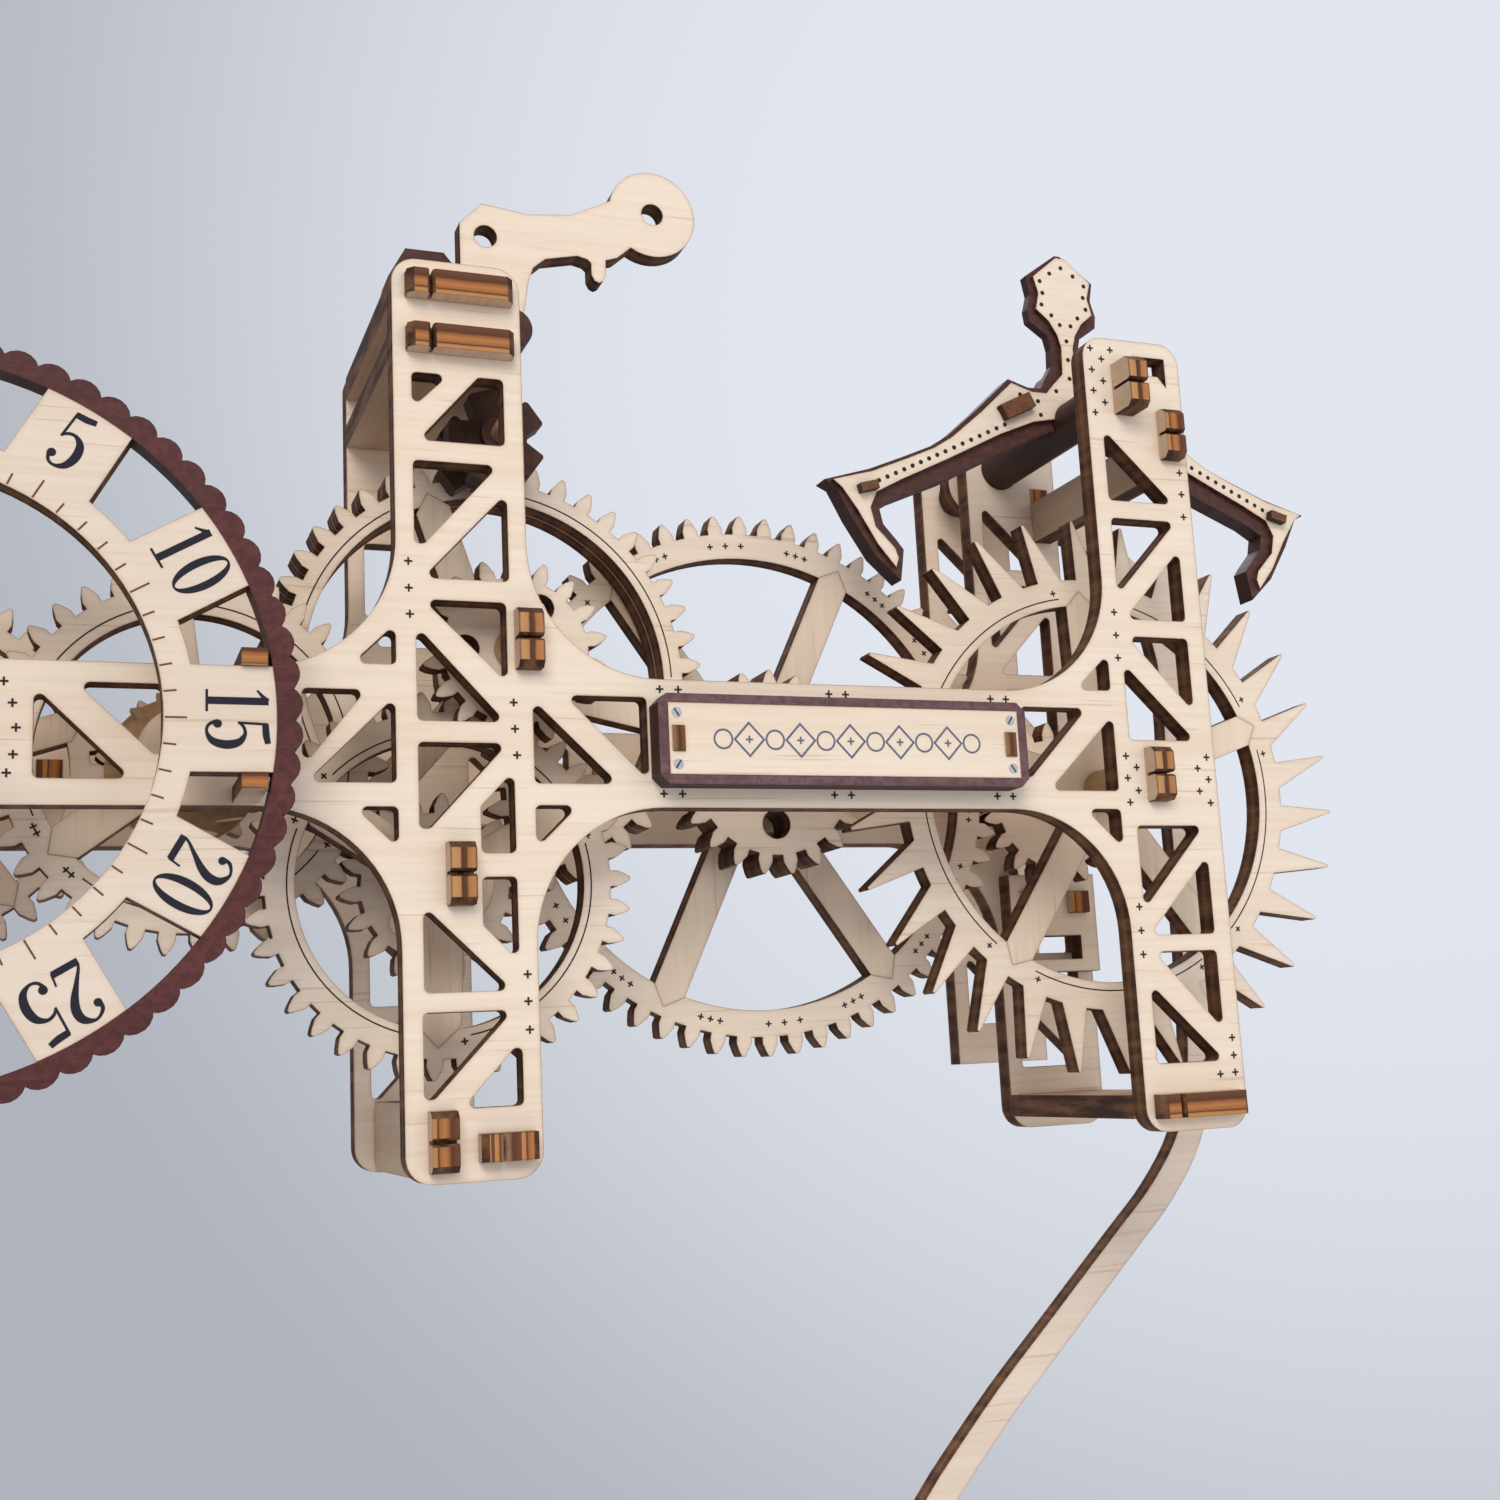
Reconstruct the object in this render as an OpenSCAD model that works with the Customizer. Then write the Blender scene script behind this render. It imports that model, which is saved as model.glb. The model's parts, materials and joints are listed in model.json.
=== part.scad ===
// Wall pendulum clock: wheels between open lattice plates, a ring dial at the left end,
// an escape wheel and axe-bladed anchor at the right, and a sinuous pendulum behind.
// Own frame: +X right, +Z up, front faces -Y. The wall is the plane y = 0.
// Origin: on the wall plane, level with the beam's middle, behind the dial's centre.

/* [Plates] */
// Sheet thickness of plates, wheels and boards
t = 4; // [3:0.1:5]
// Front plate's front face, distance out from the wall
outreach = 70; // [66:1:80]
// Half height of the beam
beam_half = 10.3; // [8:0.1:13]
// Left end of the beam, distance from the dial's centre
beam_end = 56; // [50:1:62]
// Width of each column
column_w = 20.4; // [18:0.1:24]
// Left column's left edge, from the dial's centre
column_left = 68.5; // [66:0.1:70]
// Right column's left edge, from the dial's centre
column_right = 193.5; // [190:0.1:196]
// Column top above the beam's middle
column_top = 76.8; // [74:0.1:82]
// Column foot below the beam's middle
column_foot = 65.4; // [62:0.1:70]
// Fillet between beam and columns
fillet_r = 21; // [12:1:26]
// Corner radius of the columns
corner_r = 4; // [2:0.5:6]

/* [Train] */
// Teeth of the centre wheel, behind the dial
centre_teeth = 35; // [35:1:35]
// Teeth of the great wheel's pinion
great_pinion = 15; // [15:1:15]
// Teeth of the great wheel and of the second wheel
great_teeth = 38; // [38:1:38]
// Teeth of the small pinions on the second, third and escape arbors
small_pinion = 18; // [18:1:18]
// Teeth of the third arbor's driven pinion
third_pinion_teeth = 12; // [12:1:12]
// Teeth of the third wheel
third_teeth = 45; // [45:1:45]
// Teeth of the fourth arbor's pinion
fourth_pinion_teeth = 21; // [21:1:21]
// Teeth of the fourth wheel
fourth_teeth = 60; // [60:1:60]
// Teeth of the escape wheel
escape_teeth = 30; // [30:1:30]
// Tooth module of the slow wheels
m_slow = 1.52; // [1.5:0.01:1.54]
// Tooth module of the fast wheels
m_fast = 1.6; // [1.58:0.01:1.62]
// Tooth module of the hands' reduction
m_hands = 1; // [0.9:0.05:1]
// Thinning of each tooth for backlash
backlash = 0.3; // [0.2:0.05:0.4]
// Pressure angle of the teeth
pressure = 25; // [22:1:28]
// Radius of the fixed axles
axle_r = 1.5; // [1.2:0.1:2]
// Radial running clearance of every bore
run = 0.06; // [0.03:0.01:0.1]
// Outer radius of the wheel sleeves
sleeve_r = 3.6; // [3:0.1:4]

/* [Dial] */
// Outer radius of the dial's scalloped rim
dial_r = 53; // [48:0.5:56]
// Dial's front face ahead of the front plate
dial_out = 12.6; // [10:0.1:16]
// Inner radius of the minute band
band_in = 34.3; // [32:0.1:36]
// Outer radius of the minute band
band_out = 38.6; // [37:0.1:40]
// Inner radius of the dark rim
rim_in = 49.4; // [48:0.1:51]
// Height of each numeral block across its spoke
block_w = 15; // [12:0.5:16]
// Number of scallops round the rim
scallops = 72; // [48:12:96]
// Depth of each scallop
scallop_deep = 1.2; // [0.8:0.1:1.6]
// Length of the minute hand
minute_len = 37; // [30:1:44]
// Length of the hour hand
hour_len = 26; // [20:1:30]

/* [Escapement and pendulum] */
// Tip radius of the escape wheel
escape_r = 51.7; // [50:0.1:52]
// Height of the anchor's pivot above the beam's middle
pivot_z = 67; // [66:0.5:69]
// Pendulum length, pivot to the centre of the bob
pendulum_len = 288; // [280:1:296]
// Radius of the bob
bob_r = 24; // [18:1:30]
// Width of the pendulum's curved rod
rod_w = 5.6; // [4:0.1:7]
// Sideways reach of the rod's upper curve
rod_sway = 44; // [30:1:46]

/* [Hidden] */

birch = [0.87, 0.76, 0.60];
pale = [0.91, 0.82, 0.67];
burnt = [0.42, 0.25, 0.13];
mahogany = [0.27, 0.11, 0.09];
bare_wood = [0.72, 0.55, 0.36];

// Depths are counted back from the front plate's front face.
rear_d = 46;
wall_d = outreach - t;
slow_d = 12;
great_d = 18;
escape_d = 18;
anchor_d = 17;
veneer = 1;
shield_t = 2;
centre_d = 34;
third_d = 25;
fourth_d = 34.5;
hour_d = 5;
minute_d = 10.5;
rod_d = 56;

// Axes of the train, (x, z), placed so that every pair is at its pitch distance.
gap_ab = (great_teeth + third_pinion_teeth) * m_slow / 2;
gap_bd = (great_teeth + small_pinion) * m_slow / 2;
gap_ac = (third_teeth + fourth_pinion_teeth) * m_fast / 2;
gap_ce = (fourth_teeth + small_pinion) * m_fast / 2;
axis_e = [201.3, -4.1];
axis_c = [axis_e[0] - sqrt(pow(gap_ce, 2) - pow(axis_e[1], 2)), 0];
axis_a = [axis_c[0] - sqrt(pow(gap_ac, 2) - pow(15.8, 2)), 15.8];
axis_b = [axis_a[0] - 11.35, axis_a[1] - sqrt(pow(gap_ab, 2) - pow(11.35, 2))];
axis_d = [axis_b[0] - sqrt(pow(gap_bd, 2) - pow(axis_b[1], 2)), 0];
axis_0 = [0, 0];
gap_m = (10 + 30) * m_hands / 2;
axis_m = [-gap_m, 0];
m_centre = 2 * axis_d[0] / (centre_teeth + great_pinion);
pivot = [axis_e[0], pivot_z];
roller = [87.2, 52.2];

// Phase of each wheel: the angle of one tooth's middle.
ph_third = -3.45;
ph_second = 0.86;
ph_fourth = 0.62;
ph_great = -1.91;
ph_escape = -4.06;
ph_centre = 0;
ph_cannon = 0;
ph_hour = 0;
function bearing(p, q) = atan2(q[1] - p[1], q[0] - p[0]);
// Phase of the mate that stands in mesh with a wheel of n1 teeth and phase ph1.
function mate(p1, p2, n1, n2, ph1) =
  bearing(p1, p2) + 180 - n1 / n2 * (ph1 - bearing(p1, p2)) - 180 / n2;
ph_third_p = mate(axis_b, axis_a, great_teeth, third_pinion_teeth, ph_second);
ph_second_p = mate(axis_d, axis_b, great_teeth, small_pinion, ph_great);
ph_fourth_p = mate(axis_a, axis_c, third_teeth, fourth_pinion_teeth, ph_third);
ph_escape_p = mate(axis_c, axis_e, fourth_teeth, small_pinion, ph_fourth);
ph_great_p = mate(axis_0, axis_d, centre_teeth, great_pinion, ph_centre);
ph_minute = mate(axis_0, axis_m, 10, 30, ph_cannon);
ph_minute_p = mate(axis_0, axis_m, 32, 8, ph_hour);

// Involute tooth form.
function inv(a) = tan(a) * 180 / PI - a;
function half_ang(r, n, m) =
  let (rp = n * m / 2, rb = rp * cos(pressure))
  90 / n - backlash / 2 / rp * 180 / PI + inv(pressure) - inv(acos(min(1, rb / max(r, rb))));
function tooth(n, m) =
  let (rp = n * m / 2, ra = rp + 0.95 * m, rf = rp - 1.2 * m)
  let (r1 = rp - 0.45 * m, r2 = rp + 0.45 * m)
  let (h1 = half_ang(r1, n, m), h2 = half_ang(r2, n, m), h3 = 0.8 * half_ang(ra, n, m))
  [[rf, -h1], [r1, -h1], [r2, -h2], [ra, -h3], [ra, h3], [r2, h2], [r1, h1], [rf, h1]];
function gear_points(n, m, ph) =
  [for (k = [0:n - 1]) for (s = tooth(n, m))
    [s[0] * cos(ph + k * 360 / n + s[1]), s[0] * sin(ph + k * 360 / n + s[1])]];

// A sheet standing upright: its drawing is (x, z), its front face at depth d.
module sheet(d, h = t) {
  translate([0, d + h - outreach, 0]) rotate([90, 0, 0]) linear_extrude(h) children();
}
// A round bar along the depth, at (x, z) = p.
module bar(p, d, h, r) {
  translate([p[0], d + h - outreach, p[1]]) rotate([90, 0, 0])
    cylinder(h = h, r = r, $fn = r > 15 ? 180 : 48);
}
module box(x0, x1, z0, z1, d0, d1) {
  translate([x0, d0 - outreach, z0]) cube([x1 - x0, d1 - d0, z1 - z0]);
}
module gear(p, d, n, m, ph, hole, h = t) {
  difference() {
    translate([p[0], 0, p[1]]) sheet(d, h) polygon(gear_points(n, m, ph));
    bar(p, d - 1, h + 2, hole);
  }
}
// Spokes with pointed ends that lie flush inside a wheel's ring.
module spoke_shape(n, reach, w, ph) {
  for (k = [0:n - 1]) rotate(ph + k * 360 / n)
    polygon([[0, -w / 2], [reach - w / 2, -w / 2], [reach, 0], [reach - w / 2, w / 2], [0, w / 2]]);
}
module ring_gear(p, d, n, m, ph, hole, spokes, reach, w, sph, h = t) {
  difference() {
    gear(p, d, n, m, ph, hole, h);
    translate([p[0], 0, p[1]]) sheet(d - 1, h + 2) spoke_shape(spokes, reach, w, sph);
  }
}
module spoke_star(p, d, n, reach, w, ph, hub, h = t) {
  difference() {
    union() {
      translate([p[0], 0, p[1]]) sheet(d, h) spoke_shape(n, reach, w, ph);
      bar(p, d, h, hub);
    }
    bar(p, d - 1, h + 2, sleeve_r);
  }
}
module sleeve(p, d0, d1, r = sleeve_r) {
  difference() {
    bar(p, d0, d1 - d0, r);
    bar(p, d0 - 1, d1 - d0 + 2, axle_r + run);
  }
}

// Outline of a plate: a beam and its columns, filleted together.
module plate_outline(left_column) {
  offset(r = corner_r, $fn = 32) offset(delta = -corner_r)
    offset(r = -fillet_r, $fn = 72) offset(delta = fillet_r) {
      translate([-beam_end, -beam_half]) square([column_right + beam_end, 2 * beam_half]);
      if (left_column) translate([column_left, -column_foot])
        square([column_w, column_foot + column_top]);
      translate([column_right, -column_foot]) square([column_w, column_foot + column_top]);
    }
}
// Rounded windows of the lattice.
module soft(r = 0.8) {
  offset(r = r, $fn = 12) offset(delta = -r) children();
}
module left_windows() {
  polygon([[71.4, 58], [77.3, 58], [71.4, 52.1]]);
  polygon([[81.9, 58], [85.9, 58], [85.9, 47], [72.3, 47]]);
  polygon([[71.4, 43.7], [84.8, 43.7], [72.9, 30.4], [71.4, 30.4]]);
  polygon([[84.9, 38.2], [86, 38.2], [86, 25], [72.6, 25]]);
  polygon([[72.5, 21.6], [85.4, 21.6], [85.4, 8.9]]);
  polygon([[71.4, 17.5], [84.9, 2.8], [71.4, 2.8]]);
  polygon([[71.4, -0.5], [85.1, -0.5], [73, -13.6], [71.4, -13.6]]);
  polygon([[84.9, -5.8], [86, -5.8], [86, -17.3], [80.7, -17.3], [80.7, -10.2]]);
  polygon([[80.7, -20.9], [86, -20.9], [86, -32.4], [84.9, -32.4], [80.7, -28.2]]);
  polygon([[71.7, -25], [84.9, -37.9], [71.7, -37.9]]);
  polygon([[71.4, -40.8], [84.9, -40.8], [72.9, -53.3], [71.4, -53.3]]);
  polygon([[84.9, -46.4], [86.1, -46.4], [86.1, -54.8], [77, -54.8]]);
}
module right_windows() {
  polygon([[196.5, 59.2], [210.2, 45.9], [196.5, 45.9]]);
  polygon([[196.6, 42.6], [210.2, 42.6], [197.5, 29.3], [196.6, 29.3]]);
  polygon([[209.7, 36.6], [210.4, 36.6], [210.4, 24], [197.8, 24]]);
  polygon([[197.8, 20.8], [210.4, 20.8], [210.4, 8.2], [209.7, 8.2]]);
  polygon([[196.5, 15.8], [210.2, 2.1], [196.5, 2.1]]);
  polygon([[196.5, -13.1], [210.2, -13.1], [197.6, -26.5], [196.5, -26.5]]);
  polygon([[209.7, -19.2], [210.5, -19.2], [210.5, -32.1], [197.2, -32.1]]);
  polygon([[197.8, -35], [210.5, -35], [210.5, -47.8], [209.7, -47.8]]);
  polygon([[196.5, -40.5], [210.2, -54], [196.5, -54]]);
}
module beam_windows() {
  for (s = [-1, 1]) scale([s, 1]) {
    polygon([[17.8, 6.5], [30.9, -6.5], [17.8, -6.5]]);
    polygon([[23.2, 7.3], [34.9, 7.3], [34.9, -4]]);
  }
  polygon([[68.1, 6.4], [68.1, -6.7], [55, -6.7]]);
  polygon([[63.8, 7.3], [54.4, 7.3], [54.4, -4.6]]);
  polygon([[68.3, 17.6], [68.3, 11.3], [61.8, 11.3]]);
  polygon([[61.8, -10.3], [68.3, -10.3], [68.3, -16.6]]);
  polygon([[89.2, -10], [96, -10], [89.2, -16.6]]);
  polygon([[89.2, 6.5], [102.6, -6.6], [89.2, -6.6]]);
  polygon([[94.3, 7.3], [107.6, 7.3], [107.6, -6.1]]);
  polygon([[175.1, 7.5], [188.2, 7.5], [175.1, -5.9]]);
  polygon([[193.4, 6.4], [193.4, -7], [179.6, -7]]);
  polygon([[193.4, 17.4], [193.4, 10.8], [186.4, 10.8]]);
  polygon([[186.4, -10.2], [193.4, -10.2], [193.4, -17]]);
}
module strut_slots() {
  for (z = [72.2, 63.3]) translate([70.6, z - t / 2]) square([16.8, t]);
  translate([73.9 - t / 2, -63.8]) square([t, 8.8]);
  translate([79.2, -60.6 - t / 2]) square([8.6, t]);
  translate([210.2 - t / 2, 54.3]) square([t, 9.2]);
  translate([195.2, -61.1 - t / 2]) square([17.5, t]);
  translate([-51 - t / 2, -4.5]) square([t, 9]);
}
key_w = 4;
key_h = 9.4;
module key_slot(p) {
  translate([p[0] - key_w / 2, p[1] - key_h / 2]) square([key_w, key_h]);
}
module front_plate() {
  color(birch) difference() {
    sheet(0) plate_outline(true);
    sheet(-1, t + 2) soft() {
      left_windows();
      right_windows();
      beam_windows();
    }
    sheet(-1, t + 2) strut_slots();
    for (p = [axis_a, axis_b, axis_e, pivot]) sheet(-1, t + 2) key_slot(p);
    // keyhole beside the anchor's key
    sheet(-1, t + 2) polygon([[204, 70.4], [209.2, 70.4], [210.9, 68.4], [210.9, 73.9], [204, 73.9]]);
    bar(axis_0, -1, t + 2, 4.08);
    for (p = [axis_c, axis_d]) bar(p, -1, t + 2, axle_r);
    bar(axis_m, -1, t + 2, 1.2);
  }
}
module rear_plate() {
  color(birch) difference() {
    sheet(rear_d) plate_outline(true);
    sheet(rear_d - 1, t + 2) soft() {
      right_windows();
      polygon([[71.4, 43.7], [84.8, 43.7], [72.9, 30.4], [71.4, 30.4]]);
      polygon([[84.9, 38.2], [86, 38.2], [86, 25], [72.6, 25]]);
      polygon([[71.4, -25], [84.9, -37.9], [71.4, -37.9]]);
      polygon([[71.4, -40.8], [84.9, -40.8], [72.9, -53.3], [71.4, -53.3]]);
      polygon([[94.3, 7.3], [107.6, 7.3], [107.6, -6.1]]);
      polygon([[89.2, 6.5], [102.6, -6.6], [89.2, -6.6]]);
    }
    sheet(rear_d - 1, t + 2) strut_slots();
    sheet(rear_d - 1, t + 2) spacer_slots();
    bar(axis_0, rear_d - 1, t + 2, axle_r + run);
    for (p = [axis_a, axis_c, axis_d, axis_e]) bar(p, rear_d - 1, t + 2, axle_r);
    bar(pivot, rear_d - 1, t + 2, 4.1);
  }
}
module wall_plate() {
  color(birch) difference() {
    sheet(wall_d) offset(r = -12, $fn = 48) offset(delta = 12) {
      translate([-beam_end, -8]) square([column_right + beam_end, 16]);
      translate([column_right, -53]) square([column_w, 53 + column_top]);
    }
    sheet(wall_d - 1, t + 2) soft() {
      polygon([[196.6, 59.2], [210.2, 45.9], [196.6, 45.9]]);
      polygon([[196.6, 42.6], [210.2, 42.6], [210.2, 29.3]]);
      polygon([[196.6, 26], [210.2, 13], [196.6, 13]]);
      polygon([[197, -13], [210.2, -13], [210.2, -27]]);
      polygon([[196.6, -31], [210.2, -45], [196.6, -45]]);
    }
    sheet(wall_d - 1, t + 2) spacer_slots();
    for (x = [-30, 170]) bar([x, 0], wall_d - 1, t + 2, 2.2);
    bar(pivot, wall_d - 1, t + 2, axle_r);
  }
}

// Outline of a tab's end, (along, depth): chamfered corners and a slit between head and body.
function tab_outline(a0, a1, slit, out, deep) = [[a0, deep], [a0, 1 - out], [a0 + 1, -out],
  [slit - 0.6, -out], [slit - 0.25, 0.5 - out], [slit - 0.25, -0.4], [slit + 0.25, -0.4],
  [slit + 0.25, 0.5 - out], [slit + 0.6, -out], [a1 - 1, -out], [a1, 1 - out], [a1, deep]];
module level_tab(x0, x1, z, slit, out = 2.8) {
  translate([0, 0, z - t / 2]) linear_extrude(t)
    polygon([for (p = tab_outline(x0, x1, slit, out, t)) [p[0], p[1] - outreach]]);
}
module upright_tab(x, z0, z1, slit, out = 2.8, deep = t) {
  translate([x - t / 2, 0, 0]) rotate([90, 0, 90]) linear_extrude(t)
    polygon([for (p = tab_outline(z0, z1, slit, out, deep)) [p[1] - outreach, p[0]]]);
}
// A board from plate to plate, with a tab through each.
module board_h(x0, x1, tab0, tab1, z, slit) {
  box(x0, x1, z - t / 2, z + t / 2, t, rear_d);
  level_tab(tab0, tab1, z, slit);
  box(tab0, tab1, z - t / 2, z + t / 2, rear_d, rear_d + t + 1.2);
}
module board_v(x, z0, z1, tab0, tab1, slit) {
  box(x - t / 2, x + t / 2, z0, z1, t, rear_d);
  upright_tab(x, tab0, tab1, slit);
  box(x - t / 2, x + t / 2, tab0, tab1, rear_d, rear_d + t + 1.2);
}
module struts_top_left() {
  color(burnt) {
    board_h(column_left, column_left + column_w, 70.6, 87.4, 72.2, 74.3);
    board_h(column_left, column_left + column_w, 70.6, 87.4, 63.3, 74.3);
  }
}
module struts_foot_left() {
  color(burnt) {
    board_v(73.9, -65, -53.8, -63.8, -55, -59.4);
    board_h(77.6, column_left + column_w, 79.2, 87.8, -60.6, 82.6);
  }
}
module strut_top_right() {
  color(burnt) board_v(210.2, 52, 60.3, 54.3, 63.5, 58.9);
}
module strut_foot_right() {
  color(burnt) board_h(column_right, column_right + column_w, 195.2, 212.7, -61.1, 199.2);
}
module strut_dial_end() {
  color(burnt) board_v(-51, -7, 7, -4.5, 4.5, 0);
}
spacers = [[-44, 0], [20, 0], [114, 0], [178, 0], [209, -7], [209.5, 73.4]];
module spacer_slots() {
  for (p = spacers) let (h = p[1] > 50 ? t : 2 * t)
    translate([p[0] - t / 2, p[1] - h / 2]) square([t, h]);
}
module wall_spacers() {
  color(burnt) sheet(rear_d, outreach - rear_d) spacer_slots();
}
module axle_keys() {
  color(burnt) for (p = [axis_a, axis_b, axis_e, pivot])
    upright_tab(p[0], p[1] - key_h / 2, p[1] + key_h / 2, p[1], p == pivot ? 5.6 : 3, t + 2);
}
// Fixed axles: they run in the plates or butt on the back of a key.
module axles() {
  color(bare_wood) {
    for (p = [axis_c, axis_d]) bar(p, 0, rear_d + t, axle_r);
    for (p = [axis_a, axis_e]) bar(p, t + 2, rear_d - 2, axle_r);
    bar(axis_b, t + 2, 18.2, axle_r);
    bar(pivot, t + 2, outreach - t - 2, axle_r);
    bar(roller, t, 20.4, axle_r);
    bar(axis_m, 0, 15.9, 1.2);
  }
}
module collar(p, d, h, r, hole) {
  difference() {
    bar(p, d, h, r);
    bar(p, d - 1, h + 2, hole);
  }
}
// Rounded peg against the end of the topmost board, for the cord's end.
module cord_peg() {
  difference() {
    bar([89.9, 70.9], 9, 6, 3.5);
    box(80, column_left + column_w, 60, 80, 8, 16);
  }
}
module stub_collars() {
  color(mahogany) {
    collar(axis_b, 23.3, 0.9, 2.8, axle_r);
    collar(roller, 8.4, 1.2, 3, axle_r);
    collar(roller, 23.2, 1.2, 3, axle_r);
    collar(axis_m, 14.9, 1, 2.4, 1.2);
    cord_peg();
  }
}
module bridge_plate() {
  color(birch) difference() {
    box(194.2, 213.2, -36, -17, rear_d - t, rear_d);
    for (x = [198.4, 209]) box(x - 2, x + 2, -24.6, -20.4, rear_d - t - 1, rear_d + 1);
    box(198, 209.4, -33.6, -29, rear_d - t - 1, rear_d + 1);
  }
}
module bridge_tabs() {
  color(burnt) for (x = [198.4, 209]) box(x - 2, x + 2, -24.6, -20.4, rear_d - t - 1.5, rear_d);
}
hook_eye = [119, 100];
module hook_arm() {
  color(birch) difference() {
    sheet(20) {
      polygon([[84, 74.2], [94.2, 74.2], [95.9, 84.6], [96.8, 87.2], [99, 89.1], [104.8, 90.4],
        [106.6, 90], [107.3, 89.4], [107.3, 87.2], [107.8, 86.2], [108.6, 85.8], [109.4, 86.2],
        [109.9, 87.2], [110, 90.2], [112.1, 90.9], [115, 93.4], [119, 100], [112, 102], [104, 98],
        [96, 97], [88, 98], [84, 94]]);
      translate(hook_eye) circle(r = 8, $fn = 48);
    }
    bar(hook_eye, 19, t + 2, 2);
    bar([88.5, 92], 19, t + 2, 2);
  }
}
module top_block() {
  color(mahogany) difference() {
    sheet(24, 6) polygon([[70, 74.2], [87, 74.2], [87, 84], [82, 90], [75.4, 90], [72.4, 84.6]]);
    bar([80, 86], 19, 16, 2);
  }
}

/* Plaque */
plaque_mid = [140.6, 0];
module chamfered(w, h, c) {
  polygon([[-w / 2 + c, -h / 2], [w / 2 - c, -h / 2], [w / 2, -h / 2 + c], [w / 2, h / 2 - c],
    [w / 2 - c, h / 2], [-w / 2 + c, h / 2], [-w / 2, h / 2 - c], [-w / 2, -h / 2 + c]]);
}
module plaque_frame() {
  color(mahogany) difference() {
    translate([plaque_mid[0], 0, 0]) sheet(-4.4, 4.4) chamfered(65.2, 14.4, 1.5);
    translate([plaque_mid[0], 0, 0]) sheet(-5, 3.5) chamfered(62, 11.4, 0.01);
  }
}
module plaque_panel() {
  color(pale) difference() {
    translate([plaque_mid[0], 0, 0]) sheet(-4.5, 3) chamfered(62, 11.4, 0.01);
    for (s = [-1, 1]) box(plaque_mid[0] + s * 29.4 - 1, plaque_mid[0] + s * 29.4 + 1, -2, 2, -5, -1);
  }
}
module plaque_pins() {
  color(burnt) for (s = [-1, 1])
    box(plaque_mid[0] + s * 29.4 - 1, plaque_mid[0] + s * 29.4 + 1, -2, 2, -4.8, -1.5);
}

/* Dial and hands */
module dial_posts() {
  color(burnt) for (s = [-1, 1]) for (z = [-9.9, 7.6])
    box(s * 46.3 - 1.8, s * 46.3 + 1.8, z, z + 2.3, -dial_out - 1, 0);
}
module dial_ring() {
  color(pale) difference() {
    union() {
      bar(axis_0, -dial_out, t, band_out);
      intersection() {
        sheet(-dial_out) for (k = [0:5]) rotate(k * 30)
          square([2 * dial_r, k % 3 == 0 ? block_w : block_w - 2.4], center = true);
        bar(axis_0, -dial_out, t, rim_in);
      }
    }
    bar(axis_0, -dial_out - 1, t + 2, band_in);
  }
}
function scallop_points() = [for (k = [0:scallops - 1]) for (u = [0, 0.12, 0.3, 0.5, 0.7, 0.88])
  let (a = (k + u) * 360 / scallops, r = dial_r - scallop_deep * (1 - pow(sin(u * 180), 0.7)))
  [r * cos(a), r * sin(a)]];
module dial_rim() {
  color(mahogany) difference() {
    sheet(-dial_out) polygon(scallop_points());
    bar(axis_0, -dial_out - 1, t + 2, rim_in);
  }
}
module centre_arbor() {
  color(bare_wood) {
    bar(axis_0, -22.4, rear_d + t + 22.4 + 1.6, axle_r);
    bar(axis_0, rear_d + t + 0.3, 1.3, 3);
    difference() {
      bar(axis_0, 14.8, rear_d - 0.5 - 14.8, sleeve_r);
      bar(axis_0, 14, rear_d, axle_r - 0.2);
    }
  }
}
module centre_wheel() {
  color(birch) ring_gear(axis_0, centre_d, centre_teeth, m_centre, ph_centre, 23, 5, 26, 5, 18);
}
module centre_spokes() {
  color(pale) spoke_star(axis_0, centre_d, 5, 26, 5, 18, 8);
}
module cannon_pinion() {
  color(bare_wood) difference() {
    union() {
      gear(axis_0, minute_d, 10, m_hands, ph_cannon, axle_r);
      bar(axis_0, -21.5, minute_d + 21.5, 2.6);
    }
    bar(axis_0, -23, 60, axle_r);
  }
}
// A hand lies along -x from the axis before it is turned to its time.
module hand(len, w, turn, d, hole) {
  difference() {
    rotate([0, turn, 0]) union() {
      sheet(d, 2) {
        polygon([[6, -w * 0.9], [10, 0], [6, w * 0.9], [0, w * 0.6], [-len * 0.62, w * 0.35],
          [-len * 0.7, w], [-len, 0], [-len * 0.7, -w], [-len * 0.62, -w * 0.35], [0, -w * 0.6]]);
      }
      bar(axis_0, d, 2, 5.2);
    }
    bar(axis_0, d - 1, 4, hole);
  }
}
module minute_hand() {
  color(mahogany) hand(minute_len, 2.6, 0, -21.5, 2.6);
}
module hour_hand() {
  color(mahogany) hand(hour_len, 3.2, 22.5, -17.5, 4);
}
module hour_wheel() {
  color(birch) difference() {
    union() {
      gear(axis_0, hour_d, 32, m_hands, ph_hour, 2.68);
      bar(axis_0, -17.5, hour_d + 17.5, 4);
    }
    bar(axis_0, -20, 40, 2.68);
  }
}
module minute_wheel() {
  color(birch) gear(axis_m, minute_d, 30, m_hands, ph_minute, 1.26);
}
module minute_pinion() {
  color(bare_wood) difference() {
    union() {
      gear(axis_m, hour_d, 8, m_hands, ph_minute_p, 1.26);
      bar(axis_m, hour_d + t, minute_d - hour_d - t, 2.6);
    }
    bar(axis_m, hour_d - 1, 12, 1.26);
  }
}

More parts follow.
